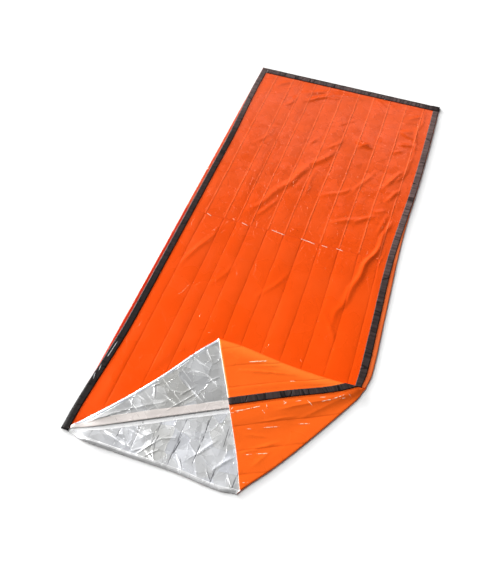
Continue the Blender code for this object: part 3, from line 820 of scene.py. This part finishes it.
def makeRightTape():
    sheet = seamSheet(rightSeam, length - bagPlan["footTapeWidth"] / 2)
    cut(sheet, hoodEdge.start - hoodEdge.across * seamTapes["clearance"], hoodEdge.across, clear=True)
    return foldedTape("rightTape", sheet, layTape, seamPattern(rightSeam))


def makeHoodTape():
    sheet = seamSheet(rightSeam)
    quarter = tapeRound * math.pi / 2
    for share in (0.0, 1 / 3, 2 / 3, 1.0):
        cut(sheet, hoodCrease.start + hoodCrease.across * (foldRound - quarter * share), hoodCrease.across)
    end = hoodCrease.start + hoodCrease.across * (foldRound - quarter - tapeDrop)
    cut(sheet, end, -hoodCrease.across, clear=True)
    return foldedTape("hoodTape", sheet, foldHoodTape, seamPattern(rightSeam))


def makeFootTape():
    inner = bagPlan["footSeamInset"] + tapeWidth / 2 + seamTapes["clearance"]
    start, middle = length - bagPlan["footTapeWidth"], length - bagPlan["footTapeWidth"] / 2
    columns = evenPlaces([inner, width], seamTapes["row"])
    sheet = flatGrid(columns, evenPlaces([start, length], seamTapes["column"]))
    return foldedTape("footTape", sheet, layFootTape, lambda points: np.stack(
        (middle - points[:, 1] + seamTapes["patternMiddle"], points[:, 0]), 1))


# an output of a shader node, whose sums and products are maths nodes in its tree
class Field:
    def __init__(self, socket):
        self.socket, self.tree = socket, socket.id_data

    def __add__(self, other):
        return maths("ADD", self, other)

    def __sub__(self, other):
        return maths("SUBTRACT", self, other)

    def __rsub__(self, other):
        return maths("SUBTRACT", other, self)

    def __mul__(self, other):
        return maths("MULTIPLY", self, other)

    def __truediv__(self, other):
        return maths("DIVIDE", self, other)

    def __rtruediv__(self, other):
        return maths("DIVIDE", other, self)

    def __abs__(self):
        return maths("ABSOLUTE", self)

    def atLeast(self, limit):
        return maths("MAXIMUM", self, limit)

    def atMost(self, limit):
        return maths("MINIMUM", self, limit)

    # this value taken smoothly from one range into another
    def ranged(self, low, high, toLow=0.0, toHigh=1.0):
        return addNode(self.tree, "ShaderNodeMapRange", {
            "Value": self, "From Min": low, "From Max": high, "To Min": toLow, "To Max": toHigh},
            "Result", interpolation_type="SMOOTHSTEP")

    # the first colour where this value is 0, and the second one where it is 1
    def between(self, first, second):
        return addNode(self.tree, "ShaderNodeMix", {0: self, 6: first, 7: second}, 2, data_type="RGBA")


def feed(socket, value):
    if isinstance(value, Field):
        value.tree.links.new(value.socket, socket)
    else:
        socket.default_value = value


# adds a node and gives back all its outputs by their names, or the one asked for
def addNode(tree, kind, inputs, output=None, **settings):
    node = tree.nodes.new(kind)
    for key, value in settings.items():
        setattr(node, key, value)
    for key, value in inputs.items():
        feed(node.inputs[key], value)
    if output is None:
        return {socket.name: Field(socket) for socket in node.outputs}
    return Field(node.outputs[output])


def maths(operation, *values):
    tree = next(value.tree for value in values if isinstance(value, Field))
    return addNode(tree, "ShaderNodeMath", dict(enumerate(values)), 0, operation=operation)


def vectorMaths(operation, first, second, output=0):
    slot = 3 if operation == "SCALE" else 1
    return addNode(first.tree, "ShaderNodeVectorMath", {0: first, slot: second}, output, operation=operation)


def noiseField(place, scale, detail, output="Fac"):
    inputs = {"Vector": place, "Scale": scale, "Detail": detail}
    return addNode(place.tree, "ShaderNodeTexNoise", inputs, output)


def axesOf(place):
    parts = addNode(place.tree, "ShaderNodeSeparateXYZ", {0: place})
    return parts["X"], parts["Y"]


def markOf(tree, key):
    return addNode(tree, "ShaderNodeAttribute", {}, "Fac", attribute_name=key)


# 1 between the low and the high value, with soft edges
def stripe(value, low, high, soft=0.0010):
    return value.ranged(low - soft, low + soft) * value.ranged(high - soft, high + soft, 1.0, 0.0)


# the pattern's place in metres
def patternPlace(tree):
    uvMap = addNode(tree, "ShaderNodeUVMap", {}, 0, uv_map="pattern")
    start = (bagPlan["patternStart"], bagPlan["patternStart"], 0.0)
    return vectorMaths("SCALE", vectorMaths("SUBTRACT", uvMap, start), bagPlan["patternSpan"])


def raiseSurface(shader, height):
    bump = addNode(height.tree, "ShaderNodeBump", {"Height": height, "Distance": 1.0, "Strength": 1.0}, 0)
    feed(shader["Normal"], bump)


def newMaterial(name):
    material = bpy.data.materials.new(name)
    material.use_nodes = True
    return material, material.node_tree, material.node_tree.nodes["Principled BSDF"].inputs


# a node group that follows a vector and the given numbers
def newGroup(name, numbers, outputs):
    group = bpy.data.node_groups.new(name, "ShaderNodeTree")
    group.interface.new_socket(name="Vector", in_out="INPUT", socket_type="NodeSocketVector")
    for key, value in numbers.items():
        socket = group.interface.new_socket(name=key, in_out="INPUT", socket_type="NodeSocketFloat")
        socket.default_value = value
    for key in outputs:
        group.interface.new_socket(name=key, in_out="OUTPUT", socket_type="NodeSocketFloat")
    return group, addNode(group, "NodeGroupInput", {}), group.nodes.new("NodeGroupOutput").inputs


# crumpled film: tilted flat facets of two sizes, with thin ridges where they meet
def makeCrinkleGroup():
    group, given, out = newGroup(
        "filmCrinkle", {"Cell": 0.05, "Fine": 0.5, "Tilt": 0.05, "Ridge": 0.02}, ("Height", "Uneven", "Tone"))
    middle = (0.5, 0.5, 0.5)
    placed = vectorMaths("SCALE", given["Vector"], 1.0 / given["Cell"])
    drift = vectorMaths("SUBTRACT", noiseField(placed, 0.8, 1.0, "Color"), middle)
    warped = vectorMaths("ADD", placed, vectorMaths("SCALE", drift, 0.30))
    heights, colours = [], []
    for size in (1.0, 2.3):
        inputs = {"Vector": warped, "Scale": size}
        cell = addNode(group, "ShaderNodeTexVoronoi", inputs, voronoi_dimensions="2D")
        edge = addNode(
            group, "ShaderNodeTexVoronoi", inputs, "Distance", voronoi_dimensions="2D",
            feature="DISTANCE_TO_EDGE")
        cellMiddle = vectorMaths("SCALE", cell["Position"], size)
        offset = vectorMaths("SUBTRACT", vectorMaths("SCALE", warped, size), cellMiddle)
        tilted = vectorMaths("DOT_PRODUCT", vectorMaths("SUBTRACT", cell["Color"], middle), offset, "Value")
        ridge = (1.0 - (edge * 14.0).atMost(1.0)) * noiseField(warped, 1.3 * size, 1.0).ranged(0.42, 0.62)
        heights.append(ridge * given["Ridge"] + tilted * given["Tilt"])
        colours.append(cell["Color"])
    feed(out["Height"], (heights[1] * given["Fine"] + heights[0]) * given["Cell"])
    feed(out["Uneven"], noiseField(placed, 0.45, 2.0))
    feed(out["Tone"], addNode(group, "ShaderNodeSeparateColor", {0: colours[0]}, 2))
    return group


# the creases of the bag's packing: lengthwise lines and a cross line, broken here and there
def makeCreaseGroup():
    group, given, out = newGroup("packingCreases", {"Half": 0.0022, "Broken": 0.5}, ("Line", "CrossLine"))
    across, along = axesOf(given["Vector"])
    pitch = width / (len(bagPlan["packingCreases"]) + 1)
    sway = (noiseField(given["Vector"], 9.0, 2.0) - 0.5) * 0.006
    phase = (sway + across) / pitch
    away = abs((phase - maths("ROUND", phase)) * pitch)
    line = 1.0 - (away / given["Half"]).atMost(1.0)
    kept = noiseField(given["Vector"], 14.0, 3.0).ranged(0.40, 0.58)
    feed(out["Line"], line * ((kept - 1.0) * given["Broken"] + 1.0))
    crossAway = abs(along - bagPlan["crossCrease"])
    feed(out["CrossLine"], 1.0 - (crossAway / given["Half"]).atMost(1.0))
    return group


crinkleGroup, creaseGroup = makeCrinkleGroup(), makeCreaseGroup()


# the film's crumple and creases in a material
def placeGroups(tree, place, finish, **crinkleInputs):
    inputs = {"Cell": finish["crinkleCell"], "Fine": 0.6, "Tilt": finish["tilt"], "Ridge": finish["ridge"]}
    crinkle = addNode(
        tree, "ShaderNodeGroup", {"Vector": place, **inputs, **crinkleInputs}, node_tree=crinkleGroup)
    creases = addNode(tree, "ShaderNodeGroup", {
        "Vector": place, "Half": finish["creaseHalf"], "Broken": finish["broken"]}, node_tree=creaseGroup)
    return crinkle, creases


white = (1.0, 1.0, 1.0, 1.0)
orangeFilm = {
    "colour": (0.920, 0.086, 0.003, 1.0), "deep": (0.900, 0.070, 0.002, 1.0),
    # crease: painted shade for the valley creases and the cross crease; upCrease: painted highlight for the
    # raised creases
    "crease": (0.500, 0.024, 0.001, 1.0), "upCrease": (0.950, 0.210, 0.080, 1.0),
    # leftSide: painted shade on the left rolled side; rightSide: painted light on the right rolled side
    "leftSide": (0.560, 0.030, 0.008, 1.0), "rightSide": (0.860, 0.170, 0.040, 1.0),
    # farShade: painted shade towards the foot
    "farShade": (0.815, 0.940, 1.000, 1.0),
    # hood: painted light, the same film lighter and yellower on the hood; hoodFold: painted sheen along its
    # upper fold
    "hood": (0.950, 0.134, 0.012, 1.0), "hoodFold": (0.960, 0.195, 0.024, 1.0),
    # pinched and glint: painted glints; edge: painted highlight along the film's cut edge
    "pinched": (1.0, 0.80, 0.66, 1.0), "glint": (1.0, 0.86, 0.66, 1.0), "edge": (0.86, 0.80, 0.78, 1.0),
    "roughness": 0.28, "metallic": 0.10, "specular": 0.45, "tint": (1.0, 0.72, 0.55, 1.0),
    "coat": 0.03, "coatRoughness": 0.30,
    "crinkleCell": 0.070, "tilt": 0.032, "ridge": 0.0003, "creaseDepth": 0.0009, "creaseHalf": 0.0045,
    "broken": 0.35,
    # from where to where along the bag the crumple sets in, the creases sharpen, painted shade darkens the
    # film, and the film gets shinier
    "crumpling": (0.80, 1.40), "sharpening": (0.85, 1.20), "dulling": (0.30, 1.70), "shining": (0.20, 1.60),
}


def makeOrangeFilm():
    material, tree, shader = newMaterial("orangeFilm")
    place = patternPlace(tree)
    alongBag = axesOf(place)[1]
    onHood, side = markOf(tree, "onHood"), markOf(tree, "sideTone")
    # the film is smoother near the mouth
    span = orangeFilm["crumpling"]
    crinkle, creases = placeGroups(
        tree, place, orangeFilm, Tilt=alongBag.ranged(*span, orangeFilm["tilt"] * 0.12, orangeFilm["tilt"]),
        Ridge=alongBag.ranged(*span, 0.0, orangeFilm["ridge"]))
    # the creases are sharpest past the cross crease, where the packing folds point the other way
    line = creases["Line"] * alongBag.ranged(*orangeFilm["sharpening"], 0.45, 1.0)
    signed = line * alongBag.ranged(bagPlan["crossCrease"] - 0.01, bagPlan["crossCrease"] + 0.01, -1.0, 1.0)
    pinchShare = abs(markOf(tree, "pinchAcross")) / frontPanel["pinchHalf"]
    pinch = pinchShare.ranged(0.5, 1.2, 1.0, 0.0) * markOf(tree, "pinchWithin").ranged(-0.2, 0.5)
    height = signed * orangeFilm["creaseDepth"] + crinkle["Height"] + creases["CrossLine"] * -0.0002
    raiseSurface(shader, height + pinch * frontPanel["pinchHeight"])

    tone = crinkle["Uneven"].between(orangeFilm["deep"], orangeFilm["colour"])
    # painted shade: the film is darker and less red towards the foot
    paintedFarShade = alongBag.ranged(*orangeFilm["dulling"]).between(white, orangeFilm["farShade"])
    tone = vectorMaths("MULTIPLY", tone, paintedFarShade)
    # painted shade on the left rolled side and painted light on the right one
    tone = side.ranged(0.0, -1.0).between(tone, orangeFilm["leftSide"])
    tone = side.ranged(0.0, 1.0).between(tone, orangeFilm["rightSide"])
    # painted light on the hood, with a painted sheen near its upper fold
    hoodPaintedLight = markOf(tree, "underFold").between(orangeFilm["hood"], orangeFilm["hoodFold"])
    tone = onHood.between(tone, hoodPaintedLight)
    # painted highlight on the raised creases, painted shade in the valley creases and along the cross crease
    tone = (signed.atLeast(0.0) * 0.35).between(tone, orangeFilm["upCrease"])
    tone = ((signed * -1.0).atLeast(0.0) * 0.50).between(tone, orangeFilm["crease"])
    tone = (creases["CrossLine"] * 0.25).between(tone, orangeFilm["crease"])
    # painted glints along the ridges that the cross crease pinches up
    tone = pinch.between(tone, orangeFilm["pinched"])
    patchy = noiseField(place, 120.0, 1.0).ranged(0.35, 0.55)
    tone = (markOf(tree, "ridge").ranged(0.25, 0.8) * onHood * patchy).between(tone, orangeFilm["glint"])
    # painted highlight along the film's cut edge at the mouth
    rim = stripe(markOf(tree, "fromMouth"), -0.01, 0.0020, 0.0006)
    feed(shader["Base Color"], rim.between(tone, orangeFilm["edge"]))
    rough, specular = orangeFilm["roughness"], orangeFilm["specular"]
    feed(shader["Roughness"], crinkle["Uneven"].ranged(0.3, 0.7, rough - 0.05, rough + 0.05))
    shine = alongBag.ranged(*orangeFilm["shining"], specular * 0.3, specular * 1.1)
    feed(shader["Specular IOR Level"], shine)
    for socket, key in (
            ("Metallic", "metallic"), ("Specular Tint", "tint"), ("Coat Weight", "coat"),
            ("Coat Roughness", "coatRoughness")):
        feed(shader[socket], orangeFilm[key])
    return material


# The same film seen from inside, on the turned flap and on the back panel.
silverFlap = {
    "pale": (0.70, 0.71, 0.73, 1.0), "shade": (0.63, 0.625, 0.60, 1.0),
    "hem": (0.60, 0.63, 0.69, 1.0), "hemShare": 0.7, "hemWidth": flap["hemWidth"], "hemLine": 0.2,
    "band": (0.92, 0.84, 0.80, 1.0), "bandWidth": 0.0290, "bandMetal": 0.25,
    "creaseTone": (0.95, 0.94, 0.93, 1.0), "creaseShare": 0.35, "creaseHalf": 0.0016, "creaseDepth": -0.0003,
    "broken": 0.9, "roughness": 0.25, "metallic": 0.55,
    "crinkleCell": 0.085, "tilt": 0.050, "ridge": 0.003, "lineShare": 0.55,
    "cornerShade": (0.70, 0.70, 0.70, 1.0), "dark": (0.20, 0.19, 0.19, 1.0), "darkShare": 0.55,
}
silverBack = {
    "pale": (0.92, 0.94, 1.00, 1.0), "shade": (0.80, 0.80, 0.78, 1.0),
    "hem": (0.82, 0.82, 0.82, 1.0), "hemShare": 0.8, "hemWidth": backPanel["hemWidth"], "hemLine": 1.0,
    "band": white, "bandWidth": 0.0165, "bandMetal": 0.05,
    "creaseTone": (0.10, 0.10, 0.12, 1.0), "creaseShare": 0.85, "creaseHalf": 0.0026, "creaseDepth": 0.0004,
    "broken": 1.0, "roughness": 0.25, "metallic": 0.55,
    "crinkleCell": 0.070, "tilt": 0.065, "ridge": 0.004, "lineShare": 0.50,
    "cornerShade": (0.62, 0.62, 0.62, 1.0), "dark": (0.020, 0.020, 0.026, 1.0), "darkShare": 0.95,
}


def makeSilverFilm(name, finish):
    material, tree, shader = newMaterial(name)
    place = patternPlace(tree)
    crinkle, creases = placeGroups(tree, place, finish)
    fromMouth, alongCrease = markOf(tree, "fromMouth"), markOf(tree, "alongCrease")
    # a plain band beside the main crease, a hem at the mouth and two raised lines along the hem, which carry a
    # painted highlight
    narrowing = alongCrease.ranged(-0.04, 0.20, 0.3, 1.0) * finish["bandWidth"]
    band = stripe(markOf(tree, "fromCrease") / narrowing, 0.0, 1.0, 0.05)
    hemWidth = finish["hemWidth"]
    hem = stripe(fromMouth, -0.1, hemWidth, 0.0006)
    upperLine = stripe(fromMouth, hemWidth - 0.0010, hemWidth + 0.0012, 0.0005)
    lowerLine = stripe(fromMouth, hemWidth - 0.0048, hemWidth - 0.0036, 0.0004)
    hemLine = (lowerLine * 0.5 + upperLine) * crinkle["Uneven"].ranged(0.40, 0.52, 0.25, finish["hemLine"])
    calm = 1.0 - hem.atLeast(band) * 0.85
    line = creases["Line"] * (calm * 0.7 + 0.3)
    raiseSurface(shader, crinkle["Height"] * calm + line * -finish["creaseDepth"] + hemLine * 0.0003)

    share = (crinkle["Tone"] * 0.5 + crinkle["Uneven"]).ranged(0.45, 1.05)
    tone = share.between(finish["shade"], finish["pale"])
    tone = alongCrease.ranged(0.08, 0.36, 0.65, 0.0).between(tone, finish["cornerShade"])
    # crease lines: painted highlight on the flap, painted shade on the back panel
    tone = (line * finish["creaseShare"]).between(tone, finish["creaseTone"])
    tone = (hem * finish["hemShare"]).between(tone, finish["hem"])
    tone = (band * 0.9).between(tone, finish["band"])
    # painted highlights: white along the ridges and along the hem lines
    patchy = noiseField(place, 45.0, 1.0).ranged(0.42, 0.60)
    bright = hemLine.atLeast(markOf(tree, "ridge").ranged(0.2, 0.9) * (calm * patchy) * finish["lineShare"])
    tone = bright.between(tone, white)
    dark = markOf(tree, "darkLine").ranged(0.1, 0.7) * finish["darkShare"]
    # at the turn only the film's orange side shows
    atTurn = alongCrease.ranged(0.85, 0.90)
    feed(shader["Base Color"], atTurn.between(dark.between(tone, finish["dark"]), orangeFilm["colour"]))
    rough, metallic = finish["roughness"], finish["metallic"]
    feed(shader["Roughness"], crinkle["Uneven"].ranged(0.3, 0.7, rough - 0.05, rough + 0.08))
    metal = band.atLeast(bright) * (finish["bandMetal"] - metallic) + metallic
    feed(shader["Metallic"], metal * (1.0 - atTurn))
    return material


blackTape = {
    "colour": (0.006, 0.004, 0.004, 1.0), "pale": (0.165, 0.112, 0.106, 1.0),
    "glint": (0.75, 0.78, 0.80, 1.0), "roughness": 0.50, "specular": 0.09, "ribDepth": 0.00080, "edge": 0.0020,
    # for the fine ribs and the deep ones: noise across and along the tape, and its detail
    "ribs": ((7.0, 95.0, 2.0), (4.0, 26.0, 0.0)),
}


def makeBlackTape():
    material, tree, shader = newMaterial("blackTape")
    place = patternPlace(tree)
    fine, deep = (
        noiseField(vectorMaths("MULTIPLY", place, (across, along, 1.0)), 1.0, detail)
        for across, along, detail in blackTape["ribs"])
    fine = fine.ranged(0.30, 0.70)
    deep = (abs(deep - 0.5) / 0.030).ranged(0.3, 1.0, 1.0, 0.0)
    raiseSurface(shader, (fine - deep) * blackTape["ribDepth"])
    fromMiddle, edge = abs(axesOf(place)[0] - seamTapes["patternMiddle"]), blackTape["edge"]
    selvedge = fromMiddle.ranged(tapeWidth / 2 - edge, tapeWidth / 2 - edge * 0.4)
    # painted sheen: the ribbed face is paler where the pale mark is high
    share = markOf(tree, "pale") * (fine * 0.7 + 0.5) * (deep * -0.75 + 1.0) * (selvedge * -0.5 + 1.0)
    tone = share.between(blackTape["colour"], blackTape["pale"])
    feed(shader["Base Color"], markOf(tree, "glint").ranged(0.2, 0.8).between(tone, blackTape["glint"]))
    feed(shader["Specular IOR Level"], blackTape["specular"])
    feed(shader["Roughness"], blackTape["roughness"])
    return material


orange, black = makeOrangeFilm(), makeBlackTape()
flapSilver, backSilver = makeSilverFilm("silverFlap", silverFlap), makeSilverFilm("silverBack", silverBack)
frontPiece = makeFrontPanel()
print("front panel folded")
backPiece = makeBackPanel()
print("back panel folded")
leftPiece, rightPiece = makeLeftTape(), makeRightTape()
hoodPiece, footPiece = makeHoodTape(), makeFootTape()
print("tapes laid")


def dress(piece, materials, replaced):
    for material in materials:
        piece.data.materials.append(material)
    if len(materials) > 1:
        piece.modifiers["wall"].material_offset = 1
        piece.modifiers["wall"].material_offset_rim = 0
    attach(piece, "root")
    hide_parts(*replaced)


dress(frontPiece, (orange, flapSilver), ("front_panel",))
dress(backPiece, (backSilver, orange), ("back_panel",))
dress(leftPiece, (black,), ("tape_left",))
dress(rightPiece, (black,), ("tape_right",))
dress(hoodPiece, (black,), ("tape_right",))
dress(footPiece, (black,), ("tape_foot",))

print("pieces dressed")

studio = {
    "floorColour": (0.90, 0.90, 0.90, 1.0), "floorRoughness": 0.85, "floorSpecular": 0.1, "ambient": 0.14,
    "floorSize": 60.0, "floorDrop": 0.0005, "lampDistance": 12.0,
    "cameraInPlan": (0.837, -0.740, 2.030), "cameraTurn": -16.64, "cameraDown": 51.77, "cameraRoll": -2.36,
    "lens": 42.98, "sensorHeight": 36.0,
    # each far light: degrees round from +X, degrees up, spread in degrees, and its share on the floor
    "farLights": (
        ("keyLight", 168.0, 38.0, 32.0, 0.44), ("lowLight", 149.0, 15.0, 18.0, 0.30),
        ("lowestLight", 148.0, 8.0, 10.0, 0.18), ("fillLight", 176.0, 54.0, 36.0, 0.16),
    ),
    # place, where it points, size across and along, watts
    "backSoftbox": ((-0.6, 5.6, 3.6), (0.0, 0.6, 0.0), 4.0, 0.9, 21.0),
}


def addLight(name, kind, place, target):
    light = bpy.data.lights.new(name, kind)
    lamp = bpy.data.objects.new(name, light)
    lamp.location = place
    lamp.rotation_euler = (Vector(target) - Vector(place)).to_track_quat("-Z", "Y").to_euler()
    lamp.visible_camera = False
    bpy.context.scene.collection.objects.link(lamp)
    return light


def makeStudio():
    bpy.ops.mesh.primitive_plane_add(size=studio["floorSize"])
    floor = bpy.context.object
    floor.name = "studioFloor"
    floor.location.z = -studio["floorDrop"]
    material, tree, shader = newMaterial("paleFloor")
    feed(shader["Base Color"], studio["floorColour"])
    feed(shader["Roughness"], studio["floorRoughness"])
    feed(shader["Specular IOR Level"], studio["floorSpecular"])
    floor.data.materials.append(material)

    world = bpy.data.worlds.new("paleRoom")
    world.use_nodes = True
    background = world.node_tree.nodes["Background"].inputs
    feed(background["Color"], white)
    feed(background["Strength"], studio["ambient"])
    bpy.context.scene.world = world

    for name, around, up, spread, share in studio["farLights"]:
        around, up = math.radians(around), math.radians(up)
        toLamp = Vector((math.cos(around) * math.cos(up), math.sin(around) * math.cos(up), math.sin(up)))
        light = addLight(name, "SUN", toLamp * studio["lampDistance"], (0.0, 0.0, 0.0))
        light.angle = math.radians(spread)
        light.energy = share * math.pi / math.sin(up)
    place, target, across, along, power = studio["backSoftbox"]
    light = addLight("backSoftbox", "AREA", place, target)
    light.shape = "RECTANGLE"
    light.size, light.size_y, light.energy = across, along, power


def makeCamera():
    data = bpy.data.cameras.new("studioCamera")
    data.sensor_fit = "VERTICAL"
    data.sensor_height = studio["sensorHeight"]
    data.lens = studio["lens"]
    data.dof.use_dof = False
    camera = bpy.data.objects.new("studioCamera", data)
    bpy.context.scene.collection.objects.link(camera)
    turned, down, roll = (math.radians(studio[key]) for key in ("cameraTurn", "cameraDown", "cameraRoll"))
    forward = Vector((math.sin(turned) * math.cos(down), math.cos(turned) * math.cos(down), -math.sin(down)))
    right = forward.cross(Vector((0.0, 0.0, 1.0))).normalized()
    right = right * math.cos(roll) + forward.cross(right) * math.sin(roll)
    axes = Matrix((right, -forward.cross(right), -forward)).transposed()
    place = Vector(studio["cameraInPlan"]) + Vector((*planOrigin, 0.0))
    camera.matrix_world = Matrix.Translation(place) @ axes.to_4x4()
    bpy.context.scene.camera = camera


makeStudio()
makeCamera()
bpy.context.scene.view_settings.view_transform = "Standard"
print("studio ready")
